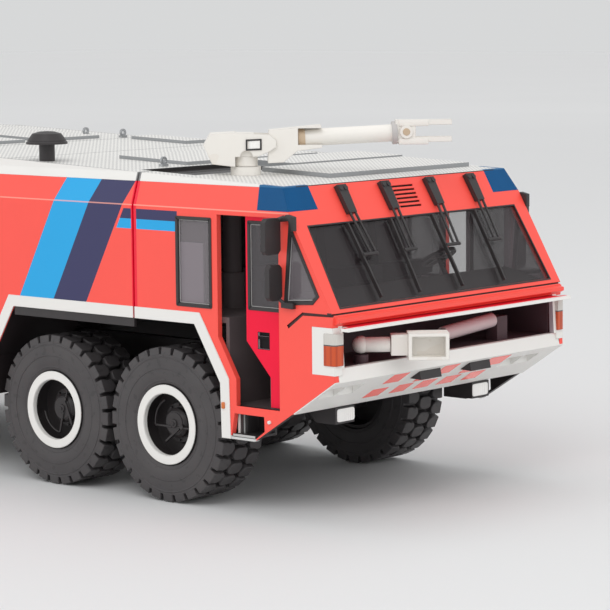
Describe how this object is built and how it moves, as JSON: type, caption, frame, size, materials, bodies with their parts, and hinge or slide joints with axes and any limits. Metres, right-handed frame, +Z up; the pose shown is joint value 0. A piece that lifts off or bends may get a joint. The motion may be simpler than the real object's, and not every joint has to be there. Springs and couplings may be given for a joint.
{
  "type": "1:24 scale display model of an eight-wheeled airport fire truck",
  "caption": "Scale display model of an airport fire truck with rolling and steering wheels, an open cab door, an open front flap and two turning water monitors.",
  "frame": {"origin": "bottom centre of the model's box, on the surface that the tyres stand on, on the centre line", "axes": "+X towards the front of the truck, +Y to its left, +Z up"},
  "size_m": [0.5022, 0.143, 0.1301],
  "materials": {
    "amber_lens": "clear plastic painted amber and white",
    "black_plastic": "satin black plastic",
    "blue_lens": "clear plastic painted blue",
    "clear_glass": "clear moulded plastic",
    "dark_trim": "matt black painted plastic",
    "grey_trim": "matt grey painted plastic",
    "red_lens": "clear plastic painted red and amber",
    "red_paint": "moulded plastic in luminous red paint",
    "silver": "plastic painted in silver grey",
    "tyre_rubber": "matt black soft plastic tyre",
    "white_paint": "moulded plastic in satin white paint"
  },
  "bodies": {
    "wheel_1_right": {"tyre_1_right": "tyre_rubber", "rim_1_right": "black_plastic"},
    "steering_1_right": {"knuckle_1_right": "black_plastic"},
    "wheel_1_left": {"tyre_1_left": "tyre_rubber", "rim_1_left": "black_plastic"},
    "steering_1_left": {"knuckle_1_left": "black_plastic"},
    "wheel_2_right": {"tyre_2_right": "tyre_rubber", "rim_2_right": "black_plastic"},
    "steering_2_right": {"knuckle_2_right": "black_plastic"},
    "wheel_2_left": {"tyre_2_left": "tyre_rubber", "rim_2_left": "black_plastic"},
    "steering_2_left": {"knuckle_2_left": "black_plastic"},
    "wheel_3_right": {"tyre_3_right": "tyre_rubber", "rim_3_right": "black_plastic"},
    "wheel_3_left": {"tyre_3_left": "tyre_rubber", "rim_3_left": "black_plastic"},
    "wheel_4_right": {"tyre_4_right": "tyre_rubber", "rim_4_right": "black_plastic"},
    "wheel_4_left": {"tyre_4_left": "tyre_rubber", "rim_4_left": "black_plastic"},
    "roof_turret": {"roof_monitor_turret": "white_paint"},
    "roof_barrel": {"roof_monitor_barrel": "white_paint"},
    "bumper_arm": {"bumper_monitor_arm": "white_paint"},
    "bumper_nozzle": {"bumper_monitor_nozzle": "white_paint"},
    "truck": {"arch_liners": "black_plastic", "arch_trims": "white_paint", "beacons": "blue_lens", "body_shell": "red_paint", "cab_roof": "white_paint", "cab_shell": "red_paint", "cab_steps": "black_plastic", "cab_tub": "black_plastic", "chassis_cross_members": "black_plastic", "chassis_rails": "black_plastic", "dashboard": "grey_trim", "doors": "red_paint", "engine_block": "black_plastic", "foam_pipe": "white_paint", "fog_lamps": "black_plastic", "front_bumper": "white_paint", "front_flap": "white_paint", "headlamps": "amber_lens", "lifting_rings": "silver", "mirrors": "black_plastic", "monitor_bay": "black_plastic", "rear_axles": "black_plastic", "rear_grille": "black_plastic", "rear_ladder": "black_plastic", "rear_lamps": "red_lens", "roller_shutters": "silver", "roof_deck": "white_paint", "roof_hatches": "white_paint", "roof_monitor_base": "white_paint", "roof_vent": "black_plastic", "seats": "dark_trim", "side_glass": "clear_glass", "steering_axles": "black_plastic", "steering_wheel": "black_plastic", "windshield": "clear_glass", "wipers": "black_plastic"}
  },
  "joints": [
    {"name": "steer_1_right", "type": "hinge", "parent": "truck", "child": "steering_1_right", "pos_m": [0.15377, -0.043, 0.0268], "axis": [0, 0, 1], "range_deg": [-8, 8]},
    {"name": "spin_1_right", "type": "hinge", "parent": "steering_1_right", "child": "wheel_1_right", "pos_m": [0.15377, -0.0495, 0.0268], "axis": [0, 1, 0], "continuous": true},
    {"name": "steer_1_left", "type": "hinge", "parent": "truck", "child": "steering_1_left", "pos_m": [0.15377, 0.043, 0.0268], "axis": [0, 0, 1], "range_deg": [-8, 8]},
    {"name": "spin_1_left", "type": "hinge", "parent": "steering_1_left", "child": "wheel_1_left", "pos_m": [0.15377, 0.0495, 0.0268], "axis": [0, 1, 0], "continuous": true},
    {"name": "steer_2_right", "type": "hinge", "parent": "truck", "child": "steering_2_right", "pos_m": [0.09817, -0.043, 0.0268], "axis": [0, 0, 1], "range_deg": [-6.4, 6.4]},
    {"name": "spin_2_right", "type": "hinge", "parent": "steering_2_right", "child": "wheel_2_right", "pos_m": [0.09817, -0.0495, 0.0268], "axis": [0, 1, 0], "continuous": true},
    {"name": "steer_2_left", "type": "hinge", "parent": "truck", "child": "steering_2_left", "pos_m": [0.09817, 0.043, 0.0268], "axis": [0, 0, 1], "range_deg": [-6.4, 6.4]},
    {"name": "spin_2_left", "type": "hinge", "parent": "steering_2_left", "child": "wheel_2_left", "pos_m": [0.09817, 0.0495, 0.0268], "axis": [0, 1, 0], "continuous": true},
    {"name": "spin_3_right", "type": "hinge", "parent": "truck", "child": "wheel_3_right", "pos_m": [-0.08282, -0.0495, 0.0268], "axis": [0, 1, 0], "continuous": true},
    {"name": "spin_3_left", "type": "hinge", "parent": "truck", "child": "wheel_3_left", "pos_m": [-0.08282, 0.0495, 0.0268], "axis": [0, 1, 0], "continuous": true},
    {"name": "spin_4_right", "type": "hinge", "parent": "truck", "child": "wheel_4_right", "pos_m": [-0.13842, -0.0495, 0.0268], "axis": [0, 1, 0], "continuous": true},
    {"name": "spin_4_left", "type": "hinge", "parent": "truck", "child": "wheel_4_left", "pos_m": [-0.13842, 0.0495, 0.0268], "axis": [0, 1, 0], "continuous": true},
    {"name": "roof_monitor_turn", "type": "hinge", "parent": "truck", "child": "roof_turret", "pos_m": [0.17008, -0.0356, 0.115], "axis": [0, 0, 1], "range_deg": [-133, 90]},
    {"name": "roof_monitor_lift", "type": "hinge", "parent": "roof_turret", "child": "roof_barrel", "pos_m": [0.17593, -0.03014, 0.12248], "axis": [0.682, -0.7314, 0], "range_deg": [0, 60]},
    {"name": "bumper_monitor_turn", "type": "hinge", "parent": "truck", "child": "bumper_arm", "pos_m": [0.22578, -0.0415, 0.0582], "axis": [0, 0, 1], "range_deg": [-10, 60]},
    {"name": "bumper_monitor_lift", "type": "hinge", "parent": "bumper_arm", "child": "bumper_nozzle", "pos_m": [0.23492, -0.03297, 0.0582], "axis": [-0.7314, -0.682, 0], "range_deg": [-10, 20]}
  ],
  "couplings": [
    {"joint": "steer_1_left", "follows": "steer_1_right", "ratio": 1},
    {"joint": "steer_2_right", "follows": "steer_1_right", "ratio": 0.8},
    {"joint": "steer_2_left", "follows": "steer_1_right", "ratio": 0.8}
  ]
}
